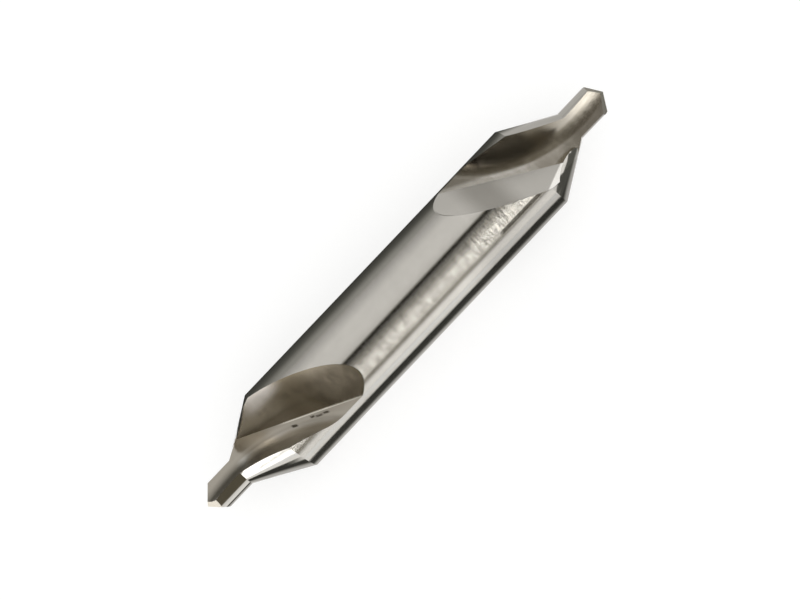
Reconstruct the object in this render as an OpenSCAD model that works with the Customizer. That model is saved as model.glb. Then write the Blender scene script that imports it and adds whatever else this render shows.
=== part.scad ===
// Double-ended centre drill: a plain ground shank with a pilot drill and a 60 degree countersink at each end.
// All sizes are in millimetres and degrees. The drill is ground from one bar, so it is one solid.
// The axis lies along X with the middle of the drill at the origin.

/* [Shank] */
// Diameter of the plain shank
shank_d = 10; // [9:0.1:12]
// Length over both points
overall_length = 57; // [52:0.5:64]

/* [Pilot and countersink] */
// Diameter of the pilot across its cutting corners
pilot_d = 4; // [3.6:0.1:4.4]
// Length from the tip to the countersink, along the cutting edge
pilot_length = 4.75; // [4:0.05:6]
// Angle of the countersink, side to side
countersink_angle = 60; // [55:1:65]
// Shift of each land's grinding centre, which makes the land fall away behind its cutting edge
relief_shift = 0.25; // [0.1:0.01:0.32]
// Direction of that shift, measured ahead of the cutting edge
relief_lead = 45; // [35:1:50]

/* [Point] */
// Angle of the drill point
point_angle = 118; // [110:1:124]
// Turn of the cutting facet behind the cutting edge
cutting_facet_turn = 13; // [8:1:18]
// Backward tilt of the heel facet
heel_facet_tilt = 45; // [41:1:49]
// Turn of the heel facet behind the cutting edge
heel_facet_turn = 90; // [80:1:98]

/* [Flute] */
// Thickness of the web left between the two flutes
web = 1.5; // [1.2:0.05:1.7]
// Turn of the flute floor about the drill axis
floor_turn = 37; // [34:1:40]
// Radius of the curved rake wall at its foot
rake_r = 15.3; // [14:0.1:17]
// Rise of the rake wall above the flute floor
rake_rise = 36; // [33:1:39]
// Distance from the countersink to the point where the rake wall runs along the axis
rake_ahead = 0.9; // [0.5:0.1:1.5]
// Reach of the hollow fillet from the foot of the rake wall to either side
fillet_reach = 0.6; // [0.4:0.05:0.8]

/* [Heel] */
// Radius of the curved wall at the heel of each land
heel_r = 10.5; // [9:0.1:12]
// Distance from the drill axis to that wall where it is nearest
heel_reach = 1.9; // [1.75:0.05:2.1]
// Distance from the countersink to that nearest place
heel_ahead = 1.75; // [1.2:0.05:2.2]

/* [Run-out] */
// Radius of the hollow that ends each flute in the shank
runout_r = 15; // [13:0.5:18]
// Distance from the countersink's rim back to the middle of the run-out
runout_back = 4.1; // [3.6:0.1:4.6]
// Height of the run-out's middle above the axis
runout_height = 2; // [1.7:0.1:2.3]
// Angle between the run-out and the drill axis, seen from above
runout_skew = 20; // [16:1:24]
// Climb of the run-out towards the shank
runout_climb = 21; // [19:1:23]
// Roll of the run-out towards the rake wall
runout_roll = 21; // [18:1:24]

/* [Ends] */
// Angle by which the flutes of one end are turned against those of the other
end_turn = 31; // [0:1:90]

/* [Hidden] */

shank_r = shank_d / 2;
pilot_r = pilot_d / 2;
tip_x = overall_length / 2;
pilot_end_x = tip_x - pilot_length;
cone_slope = tan(countersink_angle / 2);
rim_x = pilot_end_x - (shank_r - pilot_r) / cone_slope;
// radius that puts the cutting edge at its full size once the grinding centre is shifted
land_r = pilot_r - relief_shift * cos(relief_lead);
// start of the relief, where the shifted cone is wider than the shank all round
relief_x = rim_x - 3 * relief_shift / cone_slope;
// length by which a cutting form runs past what it cuts
margin = 1;
nose_x = relief_x - margin;
nose_r = land_r + (pilot_end_x - nose_x) * cone_slope;
// direction of the plane between the two lands, and the overlap of their cuts, both inside the flutes
land_split = -35;
split_overlap = 0.3;
// size of the blocks that stand for open space round the drill
space = 2 * shank_d;
rake_x = pilot_end_x + rake_ahead;
// the fillet is flatter than a tangent one by this ratio
fillet_flatness = 1.5;
fillet_r = fillet_flatness * fillet_reach / tan(rake_rise / 2);
fillet_half_chord = fillet_reach * cos(rake_rise / 2);
// distance of the fillet's centre from the corner that it fills
fillet_away = fillet_reach * sin(rake_rise / 2) + sqrt(pow(fillet_r, 2) - pow(fillet_half_chord, 2));
small_fn = 120;
wide_fn = 240;

// turns round the drill axis, from a cutting edge at the top towards the land behind it
module turn(angle)
    rotate([-angle, 0, 0])
        children();

// repeats a cut for the opposite cutting edge
module both_edges()
    for (half_turn = [0, 180])
        turn(half_turn)
            children();

// open space on the outside of a plane through the tip that leans back from the axis
module space_beyond(tilt)
    translate([tip_x, 0, 0])
        rotate([0, -tilt, 0])
            translate([0, -space, -space])
                cube([space, 2 * space, 2 * space]);

// pilot and countersink as one turned form
module nose_form()
    rotate([0, 90, 0])
        rotate_extrude($fn = small_fn)
            polygon([
                [0, nose_x],
                [nose_r, nose_x],
                [land_r, pilot_end_x],
                [land_r, tip_x + 2 * margin],
                [0, tip_x + 2 * margin]
            ]);

// stock ground away outside one land, with the wheel centred ahead of the cutting edge
module land_relief()
    difference() {
        turn(land_split)
            translate([relief_x, -split_overlap, -space])
                cube([tip_x - relief_x + margin, space, 2 * space]);
        turn(-relief_lead)
            translate([0, 0, relief_shift])
                nose_form();
    }

// space over the flat facet behind one cutting edge of the point
module cutting_facet()
    turn(cutting_facet_turn)
        space_beyond(90 - point_angle / 2);

// space over the steeper facet behind that one
module heel_facet()
    turn(heel_facet_turn)
        space_beyond(heel_facet_tilt);

// section of the space over the flat flute floor and in front of the rake wall
module flute_section() {
    polygon([
        [rake_r + fillet_reach, 0],
        [rake_r + shank_d, 0],
        [rake_r + shank_d, shank_r],
        [rake_r - shank_r / tan(rake_rise), shank_r],
        [rake_r - fillet_reach * cos(rake_rise), fillet_reach * sin(rake_rise)]
    ]);
    translate([rake_r + fillet_away * sin(rake_rise / 2), fillet_away * cos(rake_rise / 2)])
        circle(r = fillet_r, $fn = small_fn);
}

// that section turned about a line square to the drill, so that the rake wall curves round
module floor_and_rake()
    turn(-floor_turn)
        translate([rake_x, rake_r, web / 2])
            rotate_extrude($fn = wide_fn)
                flute_section();

// wide hollow that lifts the flute out of the shank
module run_out()
    translate([rim_x - runout_back, 0, runout_height])
        rotate([-runout_roll, runout_climb, -runout_skew])
            translate([0, 0, runout_r])
                rotate([0, -90, 0])
                    cylinder(h = 2 * overall_length, r = runout_r, center = true, $fn = wide_fn);

// what stays standing of the next land, up to its heel
module heel()
    translate([pilot_end_x + heel_ahead, -heel_r - heel_reach, 0])
        cylinder(h = 2 * space, r = heel_r, center = true, $fn = wide_fn);

module flute()
    difference() {
        intersection() {
            floor_and_rake();
            run_out();
        }
        heel();
    }

// grinds the lands, flutes and point at the end of a bar that points along X
module ground_end()
    difference() {
        difference() {
            difference() {
                children();
                both_edges()
                    land_relief();
            }
            both_edges()
                flute();
        }
        cutting_facet();
        heel_facet();
        turn(180)
            cutting_facet();
        turn(180)
            heel_facet();
    }

module bar()
    rotate([0, 90, 0])
        cylinder(h = overall_length, r = shank_r, center = true, $fn = wide_fn);

module centre_drill()
    color("#8f8a84")
        rotate([0, 0, 180])
            ground_end()
                rotate([0, 0, 180])
                    turn(end_turn)
                        ground_end()
                            bar();

centre_drill();
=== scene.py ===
"""Looks of a double-ended centre drill that lies on a white table, seen from straight above."""

import math
from types import SimpleNamespace

import bpy
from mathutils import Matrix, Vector


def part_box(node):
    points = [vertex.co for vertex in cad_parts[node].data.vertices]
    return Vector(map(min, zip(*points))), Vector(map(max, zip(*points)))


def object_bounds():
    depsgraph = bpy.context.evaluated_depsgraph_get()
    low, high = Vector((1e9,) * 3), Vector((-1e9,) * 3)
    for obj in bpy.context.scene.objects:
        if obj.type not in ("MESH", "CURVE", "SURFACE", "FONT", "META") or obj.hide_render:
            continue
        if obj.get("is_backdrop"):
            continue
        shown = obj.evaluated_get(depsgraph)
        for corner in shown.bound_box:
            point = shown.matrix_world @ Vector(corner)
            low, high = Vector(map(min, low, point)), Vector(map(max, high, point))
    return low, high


MM = 0.001

# camera: slope of the drill in the picture, place of its middle, and width of the view
AXIS_SLOPE_DEG = 46.43
CENTRE_RIGHT = 0.542 * MM
CENTRE_UP = 0.084 * MM
VIEW_WIDTH = 79.6 * MM
LENS = 150
SENSOR = 36
CLIP_START = 10 * MM

# table and world
FLOOR_HALF = 400 * MM
FLOOR_COLOR = (0.4, 0.4, 0.395, 1)
FLOOR_GLOW = 0.66
WORLD_COLOR = (1, 1, 1, 1)

# light tent over the drill and cards on the table, with places on them in millimetres
TENT_R = 260
TENT_END = 520
TENT_STEP = 10
TENT_EDGE_DEG = 95
CARD_LIFT = 0.02
# colour of the light, its colour on the tent and the cards where the level is low, and levels of the change
WARM_LIGHT = (1.0, 0.98, 0.94)
TENT_SHADE = (1.0, 0.87, 0.6)
CARD_SHADE = (1.0, 0.99, 0.88)
SHADE_RANGE = (0.05, 0.6)
# light levels that the shank mirrors, by degrees from straight up towards +Y over the drill's middle
TENT_LEVELS = [
    (94, 0.45),
    (74, 0.68),
    (57, 0.87),
    (20, 0.9),
    (8, 0.78),
    (3, 0.01),
    (-9, 0.01),
    (-14, 0.12),
    (-20, 0.38),
    (-28, 0.72),
    (-36, 1.15),
    (-50, 1.15),
    (-58, 1.0),
    (-60, 0.22),
    (-67, 0.22),
    (-72, 0.7),
    (-78, 1.0),
    (-94, 1.0),
]
# the front upper part is in shade but for a lamp towards each end
SHADE_TO_DEG = -58
SHADE_LEVEL = 0.12
LAMP_START = 116
LAMP_END = 210
LAMP_EDGE = 12
LAMP_FACTOR = 7.4
# parts that differ from the rest: lowest and highest angle, first and last place along the drill, level
TENT_PATCHES = [
    (-99, -74, -540, -220, 2.2),
    (-99, -40, -540, -394, 2.4),
    (-99, -74, 48, 110, 2.6),
    (-99, -74, 220, 540, 2.2),
    (-99, -72, 8, 34, 0.75),
    (-73, -63, -358, -250, 0.75),
    (-78, -60, -540, -376, 2.4),
    (-82, -58, 70, 104, 2.6),
    (-74, -50, -62, -28, 0.12),
    (-58, -5, 255, 440, 0.8),
    (-15, -4, 26, 54, 1.1),
    (10, 30, -440, -150, 0.35),
    (60, 90, 120, 440, 0.95),
]
PATCH_EDGE_DEG = 3
PATCH_EDGE = 10
# rear card: levels by distance across from the drill axis, and one level at the +X end
REAR_CARD = [(5, 0.04), (9, 0.07), (14, 0.13), (21, 0.27), (32, 0.38), (120, 0.45), (250, 0.45)]
REAR_CARD_END = 0.62
REAR_CARD_END_X = (19, 24)
REAR_CARD_X = (-250, 19, 20, 21, 22, 23, 24, 90)
REAR_CARD_Y = [across for across, level in REAR_CARD]
# front card: levels on both sides of a dark band and in it, and the level in it at the +X end
FRONT_OUTER_LEVEL = 1.1
FRONT_INNER_LEVEL = 0.6
FRONT_BAND_LEVEL = 0.05
FRONT_BAND_END = 0.13
FRONT_BAND_END_X = (23, 27)
# outer and inner edge of that band: place along the drill and distance across
FRONT_BAND_OUTER = [
    (-40, -26.5),
    (-30, -17),
    (-23, -17),
    (-19, -25.5),
    (19, -25.5),
    (23, -18),
    (30, -19),
    (38, -28),
]
FRONT_BAND_INNER = [(23, -9.7), (27, -8.2)]
FRONT_BAND_SOFT = 2.0
FRONT_CARD_X = range(-90, 91)
FRONT_CARD_Y = [-50 + 0.5 * step for step in range(91)]
# cards before the two points: one level at the -X end, and levels by distance across at the +X end
LEFT_TIP_LEVEL = 1.7
RIGHT_TIP_CARD = [(-5, 0.26), (0, 0.3), (5, 0.5)]
LEFT_TIP_X = (-60, -29)
RIGHT_TIP_X = (29, 60)
TIP_CARD_Y = [across for across, level in RIGHT_TIP_CARD]

# drill, in millimetres
PILOT_R = 2.0
SHANK_R = 5.0
PILOT_END_X = 23.75
SHANK_END_X = 18.55
RELIEF_START_X = 17.2
CONE_SLOPE = math.tan(math.radians(30))
# a flute lies deeper than this under the turned form, and by so much more where the lands are relieved
FLUTE_DEPTH = 0.05
RELIEF_DEPTH = 0.65
# limits of a normal's parts: along the radius on a land, along X on the shank, and both in a run-out
LAND_OUTWARD = 0.78
SHANK_TIPWARD = 0.25
RUN_OUT_OUTWARD = 0.7
RUN_OUT_TIPWARD = 0.3
# lines seen from above, as y = start + slope * x: the creases in the flutes of the -X and +X ends,
# and the line on the +X run-out beyond which it is painted near white, a painted highlight like the
# countersink's
LEFT_CREASE = (-8.25, -0.496)
RIGHT_CREASE = (9.6, -0.549)
PAINTED_HIGHLIGHT_LINE = (-8.19, 0.309)
PAINTED_HIGHLIGHT_EDGE = (-0.1, 0.1)

# noise: periods per millimetre along each axis, detail and roughness
CLOUD_NOISE = ((0.35, 0.35, 0.35), 3.0, 0.6)
LINE_NOISE = ((4.6, 0.45, 0.45), 2.0, 0.6)
FINE_NOISE = ((9.0, 2.5, 2.5), 2.0, 0.6)
SPECK_NOISE = ((4.0, 4.0, 4.0), 2.0, 0.5)
GRAIN_NOISE = ((2.2, 0.8, 0.8), 3.0, 0.6)
NOISE_MIDDLE = 0.5

# Three numbers for a place are its middle, its half width at full strength and its half width at the end.
# Two numbers are the start and the end of a change, and two more are the values before and after it.

# shank: grinding lines, coarser towards +X, painted as glints only on the highlight strip, with painted
# light there, and painted shade on the front beside it
GLINT_STRIP_Y = (-1.25, 0.7, 1.3)
COARSE_X = (5, 11)
FAINT_LINES = 0.4
COARSE_LINES = 1.8
STRIP_PAINTED_LIGHT = 0.3
LINE_CONTRAST = 1.9
FINE_CONTRAST = 1.7
CLOUD_CONTRAST = 0.3
# painted shade: the front of the shank, at -Y, is darker towards +X
PAINTED_SHADE_Y = (-2.75, -2.55)
PAINTED_SHADE_TONE = -0.55
TONE_RANGE = (-0.5, 0.8)
SHANK_DARK = (0.45, 0.44, 0.42)
SHANK_BRIGHT = (0.74, 0.725, 0.69)

# flutes: base browns, and places and colours of the tints on their surfaces; the tints other than the grey
# of the +X run-out are painted light and painted shade
FLUTE_DARK = (0.455, 0.425, 0.37)
FLUTE_LIGHT = (0.52, 0.49, 0.44)
# painted shade: the -X run-out is darker and browner, darkest in its middle and lighter at one corner
LEFT_RUN_OUT_PAINTED_SHADE = (0.27, 0.238, 0.187)
LEFT_MIDDLE_X = (-14.2, 0.8, 3.0)
LEFT_MIDDLE_PAINTED_SHADE = (0.17, 0.145, 0.105)
LEFT_CORNER_X = (-17.0, 0.7, 3.0)
LEFT_CORNER_Y = (2.5, 3.6)
LEFT_CORNER_COLOR = (0.46, 0.434, 0.408)
# painted light: the -X flute's face that leans towards +Y is coloured pale
LEFT_WALL_X = (-18.2, 4.2, 5.6)
LEFT_WALL_LEAN = (0.62, 0.72)
LEFT_WALL_STEEP = (0.85, 0.95, 1, 0.3)
LEFT_WALL_PAINTED_LIGHT = (0.8, 0.78, 0.74)
RIGHT_RUN_OUT_COLOR = (0.46, 0.45, 0.427)
# painted shade: a dark band across the middle of the +X run-out
RIGHT_MIDDLE_X = (12.9, 0.5, 3.0)
RIGHT_MIDDLE_PAINTED_SHADE = (0.3, 0.29, 0.27)
# painted highlight: near white on the +X run-out beyond that line
PAINTED_HIGHLIGHT_COLOR = (0.95, 0.94, 0.92)
FLAT_LEAN = (0.9, 0.97)
# painted light: the flute floor that faces up near the +X mouth is coloured lighter
RIGHT_MOUTH_X = (19.9, 1.4, 2.5)
RIGHT_MOUTH_PAINTED_LIGHT = (0.66, 0.625, 0.57)
# painted shade: the flute floor that faces up on the +X pilot is coloured darker
RIGHT_FLOOR_X = (22.4, 23.8)
RIGHT_FLOOR_PAINTED_SHADE = (0.34, 0.312, 0.27)
# painted shade: the +X flute's faces that lean away from the tip are dark, darker still where shaded
RIGHT_WALL_LEAN = (-0.16, -0.05)
RIGHT_WALL_PAINTED_SHADE = (0.25, 0.225, 0.18)
SHADED_X = (13.7, 0.7, 1.4)
SHADED_LEAN = (-0.24, -0.14)
SHADED_COLOR = (0.09, 0.077, 0.058)

# marks: bright bands along the creases, partly wear and partly painted highlight, pits beside one of them
# and a dark speckled streak on the shank
LEFT_WEAR_AND_HIGHLIGHT_X = (-13.6, 3.0, 4.4)
LEFT_WEAR_AND_HIGHLIGHT_AWAY = (-0.04, 0.04, 0.14)
LEFT_WEAR_AND_HIGHLIGHT_COLOR = (0.92, 0.89, 0.83)
RIGHT_WEAR_AND_HIGHLIGHT_X = (13.8, 3.6, 5.2)
RIGHT_WEAR_AND_HIGHLIGHT_AWAY = (0.3, 0.3, 0.85)
RIGHT_WEAR_AND_HIGHLIGHT_COLOR = (0.95, 0.93, 0.89)
# each pit: place along the drill and distance from the crease
PITS = [
    ((-16.66, 0.14, 0.36), (-0.72, 0.09, 0.22)),
    ((-14.75, 0.1, 0.3), (-0.42, 0.05, 0.2)),
    ((-14.2, 0.1, 0.55), (-0.52, 0.05, 0.2)),
    ((-13.5, 0.1, 0.4), (-0.46, 0.05, 0.2)),
]
PIT_SPECKS = (0.3, 0.6, 0.65, 1.0)
STREAK_X = (14.0, 2.4, 3.2)
STREAK_Y = (-2.39, 0.11, 0.25)
STREAK_SPECKS = (0.25, 0.5, 0.5, 0.9)
MARK_COLOR = (0.07, 0.06, 0.045)

# finish: height of the grinding lines, tilt of the +X run-out's normal, and roughness
LINE_HEIGHT = 0.003 * MM
FINE_SHARE = 0.3
LINE_STRENGTH = 0.1
SHANK_LINE_STRENGTH = 0.85
RUN_OUT_TILT = (-0.06, -0.26, 0.26)
GRAIN_ROUGHNESS = (0.3, 0.7, 0.06, 0.1)
SHANK_ROUGHNESS = 0.15
FLUTE_ROUGHNESS = 0.24
RIGHT_END_SMOOTHER = -0.08
LEFT_RUN_OUT_SMOOTHER = -0.11
QUARTER_TURN = 0.25


def blend_stops(stops, value):
    """Straight-line reading of a list of (place, level), in rising or falling order."""
    ordered = sorted(stops)
    if value <= ordered[0][0]:
        return ordered[0][1]
    for (place, level), (next_place, next_level) in zip(ordered, ordered[1:]):
        if value <= next_place:
            return level + (next_level - level) * (value - place) / (next_place - place)
    return ordered[-1][1]


def smooth(value, start, end):
    """0 before start, 1 after end and a smooth step between."""
    t = min(1, max(0, (value - start) / (end - start)))
    return t * t * (3 - 2 * t)


def window(value, low, high, edge):
    """1 between low and high and 0 outside, with soft edges."""
    return smooth(value, low - edge, low + edge) * (1 - smooth(value, high - edge, high + edge))


def add_mesh(name, points, faces):
    """A new mesh object in the scene."""
    mesh = bpy.data.meshes.new(name)
    mesh.from_pydata(points, [], faces)
    thing = bpy.data.objects.new(name, mesh)
    bpy.context.scene.collection.objects.link(thing)
    return thing


class Tree:
    """The node tree of a new material, with short ways to add nodes to it."""

    def __init__(self, name):
        self.material = bpy.data.materials.new(name)
        self.material.use_nodes = True
        self.nodes = self.material.node_tree.nodes
        self.links = self.material.node_tree.links
        self.nodes.clear()
        self.out = self.nodes.new("ShaderNodeOutputMaterial")

    def show(self, shader):
        """Puts a shader on the surface and returns the material."""
        self.links.new(shader.outputs[0], self.out.inputs["Surface"])
        return self.material

    def feed(self, socket, value):
        """Links an input to an output, or sets it to a constant."""
        if isinstance(value, bpy.types.NodeSocket):
            self.links.new(value, socket)
        else:
            socket.default_value = value

    def operate(self, kind, operation, values):
        """Output of a node that works on outputs and constants."""
        node = self.nodes.new(kind)
        node.operation = operation
        for socket, value in zip(node.inputs, values):
            self.feed(socket, value)
        return node.outputs[0]

    def calc(self, operation, *values):
        """Result of a Math node."""
        return self.operate("ShaderNodeMath", operation, values)

    def vector(self, operation, *values):
        """Result of a Vector Math node."""
        return self.operate("ShaderNodeVectorMath", operation, values)

    def split(self, vector):
        """The three parts of a vector."""
        node = self.nodes.new("ShaderNodeSeparateXYZ")
        self.links.new(vector, node.inputs[0])
        return node.outputs

    def both(self, first, *others):
        """Product of masks, which is 1 where all of them are."""
        for other in others:
            first = self.calc("MULTIPLY", first, other)
        return first

    def ramp(self, value, low, high, low_out=0, high_out=1):
        """A smooth change from one output to another while the value goes from low to high."""
        node = self.nodes.new("ShaderNodeMapRange")
        node.interpolation_type = "SMOOTHSTEP"
        node.inputs["From Min"].default_value = low
        node.inputs["From Max"].default_value = high
        node.inputs["To Min"].default_value = low_out
        node.inputs["To Max"].default_value = high_out
        self.links.new(value, node.inputs["Value"])
        return node.outputs["Result"]

    def near(self, value, middle, full, end):
        """1 within full of the middle, down to 0 at the end."""
        return self.ramp(self.calc("ABSOLUTE", self.calc("SUBTRACT", value, middle)), full, end, 1, 0)

    def noise(self, place, scales, detail, roughness):
        """Noise whose grain is set along each axis, in periods per millimetre."""
        mapping = self.nodes.new("ShaderNodeMapping")
        mapping.inputs["Scale"].default_value = scales
        self.links.new(place, mapping.inputs["Vector"])
        noise = self.nodes.new("ShaderNodeTexNoise")
        noise.inputs["Scale"].default_value = 1
        noise.inputs["Detail"].default_value = detail
        noise.inputs["Roughness"].default_value = roughness
        self.links.new(mapping.outputs[0], noise.inputs["Vector"])
        return noise.outputs["Fac"]

    def mix(self, factor, first, second):
        """A mix of two colours, each an output or a constant."""
        node = self.nodes.new("ShaderNodeMix")
        node.data_type = "RGBA"
        self.links.new(factor, node.inputs["Factor"])
        sockets = [socket for socket in node.inputs if socket.type == "RGBA"]
        for socket, value in zip(sockets, (first, second)):
            self.feed(socket, (*value, 1) if isinstance(value, tuple) else value)
        return [socket for socket in node.outputs if socket.type == "RGBA"][0]


def floor_material():
    """White table that takes a faint shadow."""
    tree = Tree("white_table")
    diffuse = tree.nodes.new("ShaderNodeBsdfDiffuse")
    diffuse.inputs["Color"].default_value = FLOOR_COLOR
    path = tree.nodes.new("ShaderNodeLightPath")
    seen = tree.calc("MAXIMUM", path.outputs["Is Camera Ray"], path.outputs["Is Glossy Ray"])
    seen = tree.calc("MAXIMUM", seen, path.outputs["Is Transmission Ray"])
    glow = tree.nodes.new("ShaderNodeEmission")
    tree.links.new(tree.calc("MULTIPLY", seen, FLOOR_GLOW), glow.inputs["Strength"])
    total = tree.nodes.new("ShaderNodeAddShader")
    tree.links.new(diffuse.outputs[0], total.inputs[0])
    tree.links.new(glow.outputs[0], total.inputs[1])
    return tree.show(total)


def light_material(name, shade):
    """Light whose level is written at the points of a sheet, with its own colour where it is low."""
    tree = Tree(name)
    glow = tree.nodes.new("ShaderNodeEmission")
    level = tree.nodes.new("ShaderNodeAttribute")
    level.attribute_name = "level"
    bright = tree.ramp(level.outputs["Fac"], *SHADE_RANGE)
    tree.links.new(tree.mix(bright, shade, WARM_LIGHT), glow.inputs["Color"])
    tree.links.new(level.outputs["Fac"], glow.inputs["Strength"])
    return tree.show(glow)


def lit_grid(name, rows, material):
    """A sheet of light from rows of (point in mm, level), which only the drill's metal reflects."""
    width = len(rows[0])
    points = [tuple(part * MM for part in point) for row in rows for point, level in row]
    faces = []
    for j in range(len(rows) - 1):
        for i in range(width - 1):
            corner = j * width + i
            faces.append((corner, corner + 1, corner + width + 1, corner + width))
    thing = add_mesh(name, points, faces)
    levels = thing.data.attributes.new("level", "FLOAT", "POINT")
    levels.data.foreach_set("value", [level for row in rows for point, level in row])
    thing.data.materials.append(material)
    thing.visible_camera = False
    thing.visible_shadow = False
    thing.visible_diffuse = False
    thing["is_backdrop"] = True


def shank_angle(angle, x):
    """Angle over the drill's middle that the shank mirrors with this place, as it smears lengthwise."""
    across = TENT_R * math.sin(math.radians(angle))
    height = TENT_R * math.cos(math.radians(angle))
    return 2 * math.degrees(math.atan2(across, height + math.hypot(x, TENT_R)))


def tent_level(angle, x):
    """Level of the tent at an angle from straight up and a place along the drill."""
    shank = shank_angle(angle, x)
    level = blend_stops(TENT_LEVELS, shank)
    if SHADE_TO_DEG < shank < 0:
        shade = min(level, SHADE_LEVEL)
        level = shade + window(abs(x), LAMP_START, LAMP_END, LAMP_EDGE) * (level * LAMP_FACTOR - shade)
    for low, high, start, end, patch in TENT_PATCHES:
        inside = window(angle, low, high, PATCH_EDGE_DEG) * window(x, start, end, PATCH_EDGE)
        level += (patch - level) * inside
    return level


def rear_card_level(across, x):
    """Level of the card behind the drill."""
    level = blend_stops(REAR_CARD, across)
    return level + (REAR_CARD_END - level) * smooth(x, *REAR_CARD_END_X)


def front_card_level(across, x):
    """Level of the card in front of the drill, with its dark band."""
    outer = blend_stops(FRONT_BAND_OUTER, x)
    band = window(across, outer, blend_stops(FRONT_BAND_INNER, x), FRONT_BAND_SOFT)
    level = FRONT_OUTER_LEVEL if across < outer else FRONT_INNER_LEVEL
    dark = FRONT_BAND_LEVEL + (FRONT_BAND_END - FRONT_BAND_LEVEL) * smooth(x, *FRONT_BAND_END_X)
    return level + (dark - level) * band


def tip_card_level(across, x):
    """Level of the cards before the two points."""
    return LEFT_TIP_LEVEL if x < 0 else blend_stops(RIGHT_TIP_CARD, across)


def steel_spot(tree):
    """Where a point of the drill lies, how its surface leans, and a mask for each kind of surface."""
    calc = tree.calc
    both = tree.both
    geometry = tree.nodes.new("ShaderNodeNewGeometry")
    place = tree.vector("MULTIPLY", geometry.outputs["Position"], (1 / MM, 1 / MM, 1 / MM))
    x, y, z = tree.split(place)
    lean_x, lean_y, lean_z = tree.split(geometry.outputs["Normal"])

    # how far the point lies under the turned form, and how far its normal is from the radius
    along = calc("ABSOLUTE", x)
    radius = calc("SQRT", calc("ADD", calc("MULTIPLY", y, y), calc("MULTIPLY", z, z)))
    cone = calc("MULTIPLY_ADD", calc("SUBTRACT", PILOT_END_X, along), CONE_SLOPE, PILOT_R)
    turned = calc("MINIMUM", calc("MAXIMUM", cone, PILOT_R), SHANK_R)
    depth = calc("SUBTRACT", turned, radius)
    outward = calc("MULTIPLY_ADD", y, lean_y, calc("MULTIPLY", z, lean_z))
    outward = calc("DIVIDE", outward, radius)
    relieved = calc("GREATER_THAN", along, RELIEF_START_X)
    deep = calc("GREATER_THAN", depth, calc("MULTIPLY_ADD", relieved, RELIEF_DEPTH, FLUTE_DEPTH))
    flute = calc("MAXIMUM", deep, calc("LESS_THAN", outward, LAND_OUTWARD))
    level_face = calc("LESS_THAN", calc("ABSOLUTE", lean_x), SHANK_TIPWARD)
    body = both(calc("LESS_THAN", along, SHANK_END_X), level_face, calc("SUBTRACT", 1, flute))
    right_end = calc("GREATER_THAN", x, 0)

    # the flute's run-out leans towards the tip and its rake wall away from it
    tipward = calc("MULTIPLY", lean_x, calc("SIGN", x))
    on_shank = calc("LESS_THAN", along, RELIEF_START_X)
    inside = calc("MAXIMUM", on_shank, calc("LESS_THAN", outward, RUN_OUT_OUTWARD))
    behind = calc("LESS_THAN", along, PILOT_END_X)
    run_out = both(calc("GREATER_THAN", tipward, RUN_OUT_TIPWARD), inside, behind, flute)
    right_run_out = both(run_out, right_end)
    return SimpleNamespace(
        place=place,
        x=x,
        y=y,
        lean_y=lean_y,
        lean_z=lean_z,
        tipward=tipward,
        top=calc("GREATER_THAN", z, 0),
        right_end=right_end,
        body=body,
        flute=flute,
        run_out=run_out,
        right_run_out=right_run_out,
        left_run_out=calc("SUBTRACT", run_out, right_run_out),
    )


def from_line(tree, spot, line):
    """Distance along Y from a line to the point."""
    start, slope = line
    return tree.calc("SUBTRACT", spot.y, tree.calc("MULTIPLY_ADD", spot.x, slope, start))


def shank_color(tree, spot, cloud, lines, fine):
    """Neutral grey of the shank and lands, with grinding lines as painted glints on the highlight strip and
    painted shade in front.
    """
    calc = tree.calc
    # painted glints and painted light: the grinding lines show in the colour only on the highlight strip,
    # lighter towards +X
    glint_strip = tree.both(tree.near(spot.y, *GLINT_STRIP_Y), spot.body, spot.top)
    coarse = tree.ramp(spot.x, *COARSE_X)
    contrast = tree.both(glint_strip, calc("MULTIPLY_ADD", coarse, COARSE_LINES, FAINT_LINES))
    tone = calc("MULTIPLY", calc("SUBTRACT", lines, NOISE_MIDDLE), LINE_CONTRAST)
    tone = calc("MULTIPLY_ADD", calc("SUBTRACT", fine, NOISE_MIDDLE), FINE_CONTRAST, tone)
    tone = calc("MULTIPLY_ADD", tone, contrast, calc("MULTIPLY", cloud, CLOUD_CONTRAST))
    tone = calc("MULTIPLY_ADD", tree.both(glint_strip, coarse), STRIP_PAINTED_LIGHT, tone)
    # painted shade on the front of the shank towards +X
    painted_shade = tree.both(tree.ramp(spot.y, *PAINTED_SHADE_Y, 1, 0), coarse)
    tone = calc("MULTIPLY_ADD", painted_shade, PAINTED_SHADE_TONE, tone)
    return tree.mix(tree.ramp(tone, *TONE_RANGE), SHANK_DARK, SHANK_BRIGHT)


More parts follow.
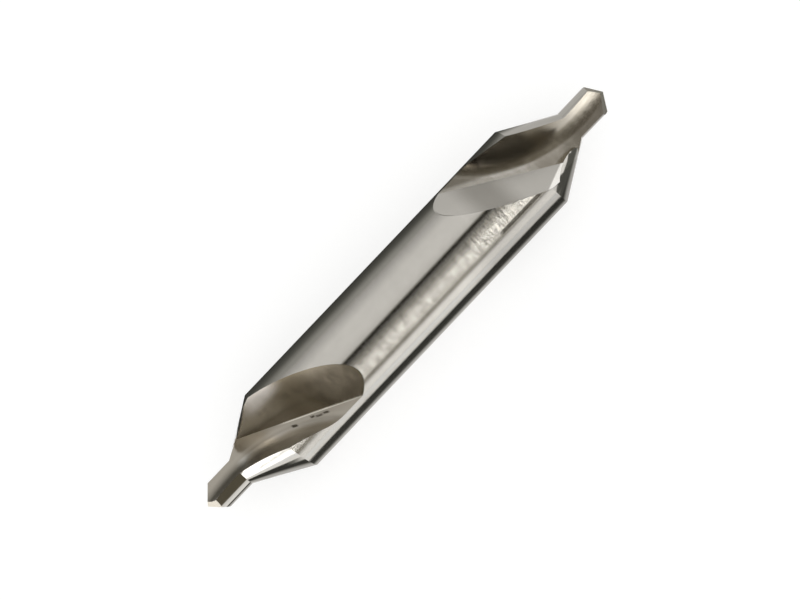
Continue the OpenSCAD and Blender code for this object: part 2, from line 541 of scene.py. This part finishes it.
def flute_color(tree, spot, cloud):
    """Brown of the flutes, with a grey tint on the +X run-out and painted light and painted shade on other
    surfaces.
    """
    both = tree.both
    near = tree.near
    ramp = tree.ramp
    steep = both(ramp(spot.lean_y, *LEFT_WALL_LEAN), ramp(spot.lean_y, *LEFT_WALL_STEEP))
    # painted light on the -X flute's face that leans towards +Y
    left_wall = both(steep, near(spot.x, *LEFT_WALL_X), spot.flute, spot.top)
    left_corner = both(spot.left_run_out, ramp(spot.y, *LEFT_CORNER_Y), near(spot.x, *LEFT_CORNER_X))
    flat = both(ramp(spot.lean_z, *FLAT_LEAN), spot.flute, spot.top)
    # painted shade on the +X flute's faces that lean away from the tip
    right_wall = both(ramp(spot.tipward, *RIGHT_WALL_LEAN, 1, 0), spot.flute, spot.right_end)
    shaded = both(ramp(spot.tipward, *SHADED_LEAN, 1, 0), near(spot.x, *SHADED_X), right_wall)
    # painted highlight: the +X run-out beyond a line is near white, like the bright countersink beside it
    painted_highlight = both(spot.right_run_out, ramp(from_line(tree, spot, PAINTED_HIGHLIGHT_LINE), *PAINTED_HIGHLIGHT_EDGE, 1, 0))
    color = tree.mix(cloud, FLUTE_DARK, FLUTE_LIGHT)
    for mask, tint in (
        # painted shade on the -X run-out, darkest in its middle, lighter at one corner
        (spot.left_run_out, LEFT_RUN_OUT_PAINTED_SHADE),
        (both(spot.left_run_out, near(spot.x, *LEFT_MIDDLE_X)), LEFT_MIDDLE_PAINTED_SHADE),
        (left_corner, LEFT_CORNER_COLOR),
        (left_wall, LEFT_WALL_PAINTED_LIGHT),
        (spot.right_run_out, RIGHT_RUN_OUT_COLOR),
        # painted shade across the middle of the +X run-out
        (both(spot.right_run_out, near(spot.x, *RIGHT_MIDDLE_X)), RIGHT_MIDDLE_PAINTED_SHADE),
        (painted_highlight, PAINTED_HIGHLIGHT_COLOR),
        # painted light on the upward-facing flute floor at the +X mouth
        (both(flat, near(spot.x, *RIGHT_MOUTH_X)), RIGHT_MOUTH_PAINTED_LIGHT),
        # painted shade on the upward-facing flute floor of the +X pilot
        (both(flat, ramp(spot.x, *RIGHT_FLOOR_X)), RIGHT_FLOOR_PAINTED_SHADE),
        (right_wall, RIGHT_WALL_PAINTED_SHADE),
        (shaded, SHADED_COLOR),
    ):
        color = tree.mix(mask, color, tint)
    return color


def add_marks(tree, spot, color):
    """The colour with bright crease bands, partly wear and partly painted highlight, pits and a dark streak
    over it.
    """
    both = tree.both
    near = tree.near
    speck = tree.noise(spot.place, *SPECK_NOISE)
    streak = both(near(spot.y, *STREAK_Y), near(spot.x, *STREAK_X), spot.body, spot.top)
    streak = both(streak, tree.ramp(speck, *STREAK_SPECKS))
    beside = from_line(tree, spot, LEFT_CREASE)
    pits = 0
    for along, away in PITS:
        pits = tree.calc("MAXIMUM", pits, both(near(beside, *away), near(spot.x, *along)))
    pits = both(pits, spot.flute, spot.top, tree.ramp(speck, *PIT_SPECKS))
    # bright band along the -X crease: partly wear, partly painted highlight
    wear_and_highlight = both(near(beside, *LEFT_WEAR_AND_HIGHLIGHT_AWAY), near(spot.x, *LEFT_WEAR_AND_HIGHLIGHT_X), spot.top, spot.flute)
    color = tree.mix(wear_and_highlight, color, LEFT_WEAR_AND_HIGHLIGHT_COLOR)
    beside = from_line(tree, spot, RIGHT_CREASE)
    wall_side = tree.calc("SUBTRACT", spot.flute, spot.run_out)
    # bright band beside the +X crease: partly wear, partly painted highlight
    wear_and_highlight = both(near(beside, *RIGHT_WEAR_AND_HIGHLIGHT_AWAY), wall_side, spot.right_end, spot.top)
    color = tree.mix(both(wear_and_highlight, near(spot.x, *RIGHT_WEAR_AND_HIGHLIGHT_X)), color, RIGHT_WEAR_AND_HIGHLIGHT_COLOR)
    return tree.mix(tree.calc("MAXIMUM", streak, pits), color, MARK_COLOR)


def steel_material():
    """Ground steel: bright lands, a shank with grinding lines and browner flutes, with painted light and
    shade on both.
    """
    tree = Tree("ground_steel")
    calc = tree.calc
    spot = steel_spot(tree)
    cloud = tree.noise(spot.place, *CLOUD_NOISE)
    lines = tree.noise(spot.place, *LINE_NOISE)
    fine = tree.noise(spot.place, *FINE_NOISE)
    grain = tree.noise(spot.place, *GRAIN_NOISE)
    shank = shank_color(tree, spot, cloud, lines, fine)
    color = tree.mix(spot.flute, shank, flute_color(tree, spot, cloud))
    color = add_marks(tree, spot, color)

    # grinding lines run round the shank
    bump = tree.nodes.new("ShaderNodeBump")
    bump.inputs["Distance"].default_value = LINE_HEIGHT
    tree.links.new(calc("MULTIPLY_ADD", fine, FINE_SHARE, lines), bump.inputs["Height"])
    strength = calc("MULTIPLY_ADD", spot.body, SHANK_LINE_STRENGTH, LINE_STRENGTH)
    tree.links.new(strength, bump.inputs["Strength"])

    # the run-out at the +X end is shaded as if it were ground flatter
    normal = tree.vector("MULTIPLY_ADD", spot.right_run_out, RUN_OUT_TILT, bump.outputs[0])
    normal = tree.vector("NORMALIZE", normal)

    rough = calc("MULTIPLY_ADD", spot.body, SHANK_ROUGHNESS, tree.ramp(grain, *GRAIN_ROUGHNESS))
    flute_rough = calc("MULTIPLY_ADD", spot.right_end, RIGHT_END_SMOOTHER, FLUTE_ROUGHNESS)
    flute_rough = calc("MULTIPLY_ADD", spot.left_run_out, LEFT_RUN_OUT_SMOOTHER, flute_rough)
    rough = calc("MULTIPLY_ADD", spot.flute, flute_rough, rough)

    round_axis = tree.nodes.new("ShaderNodeTangent")
    round_axis.direction_type = "RADIAL"
    round_axis.axis = "X"
    shader = tree.nodes.new("ShaderNodeBsdfPrincipled")
    shader.inputs["Metallic"].default_value = 1
    shader.inputs["Anisotropic Rotation"].default_value = QUARTER_TURN
    tree.links.new(color, shader.inputs["Base Color"])
    tree.links.new(rough, shader.inputs["Roughness"])
    tree.links.new(round_axis.outputs[0], shader.inputs["Tangent"])
    tree.links.new(spot.body, shader.inputs["Anisotropic"])
    tree.links.new(normal, shader.inputs["Normal"])
    return tree.show(shader)


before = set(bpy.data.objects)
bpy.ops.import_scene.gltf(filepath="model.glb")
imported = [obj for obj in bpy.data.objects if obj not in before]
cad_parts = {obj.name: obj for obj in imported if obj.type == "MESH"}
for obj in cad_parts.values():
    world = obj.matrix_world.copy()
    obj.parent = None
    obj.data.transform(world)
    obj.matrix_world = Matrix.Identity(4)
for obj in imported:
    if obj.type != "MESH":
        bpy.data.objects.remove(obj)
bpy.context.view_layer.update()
scene = bpy.context.scene
scene.view_settings.view_transform = "Standard"

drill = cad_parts["centre_drill"]
drill.data.materials.clear()
drill.data.materials.append(steel_material())

# table
low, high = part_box("centre_drill")
corners = [(-1, -1), (1, -1), (1, 1), (-1, 1)]
table = add_mesh(
    "table",
    [(sx * FLOOR_HALF, sy * FLOOR_HALF, low.z) for sx, sy in corners],
    [(0, 1, 2, 3)],
)
table.data.materials.append(floor_material())
table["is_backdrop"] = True

# light tent and the cards on the table
tent_rows = []
for degrees in range(-TENT_EDGE_DEG, TENT_EDGE_DEG + 1):
    angle = math.radians(degrees)
    row = []
    for station in range(-TENT_END, TENT_END + 1, TENT_STEP):
        point = (station, TENT_R * math.sin(angle), TENT_R * math.cos(angle))
        row.append((point, tent_level(degrees, station)))
    tent_rows.append(row)
lit_grid("tent", tent_rows, light_material("tent_light", TENT_SHADE))
card_light = light_material("card_light", CARD_SHADE)
card_z = low.z / MM + CARD_LIFT
for name, level_at, widths, lengths in (
    ("rear_card", rear_card_level, REAR_CARD_Y, REAR_CARD_X),
    ("front_card", front_card_level, FRONT_CARD_Y, FRONT_CARD_X),
    ("left_tip_card", tip_card_level, TIP_CARD_Y, LEFT_TIP_X),
    ("right_tip_card", tip_card_level, TIP_CARD_Y, RIGHT_TIP_X),
):
    rows = [[((x, across, card_z), level_at(across, x)) for x in lengths] for across in widths]
    lit_grid(name, rows, card_light)

# world
world = bpy.data.worlds.new("white_room")
scene.world = world
world.use_nodes = True
world.node_tree.nodes["Background"].inputs["Color"].default_value = WORLD_COLOR
world.node_tree.nodes["Background"].inputs["Strength"].default_value = 1

# camera
roll = math.radians(-AXIS_SLOPE_DEG)
right = Vector((math.cos(roll), math.sin(roll), 0))
up = Vector((-math.sin(roll), math.cos(roll), 0))
lens = bpy.data.cameras.new("camera")
lens.sensor_width = SENSOR
lens.lens = LENS
lens.clip_start = CLIP_START
lens.dof.use_dof = False
camera = bpy.data.objects.new("camera", lens)
scene.collection.objects.link(camera)
camera.rotation_euler = (0, 0, roll)
distance = VIEW_WIDTH * LENS / SENSOR
camera.location = Vector((0, 0, distance)) - right * CENTRE_RIGHT - up * CENTRE_UP
scene.camera = camera

low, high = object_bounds()
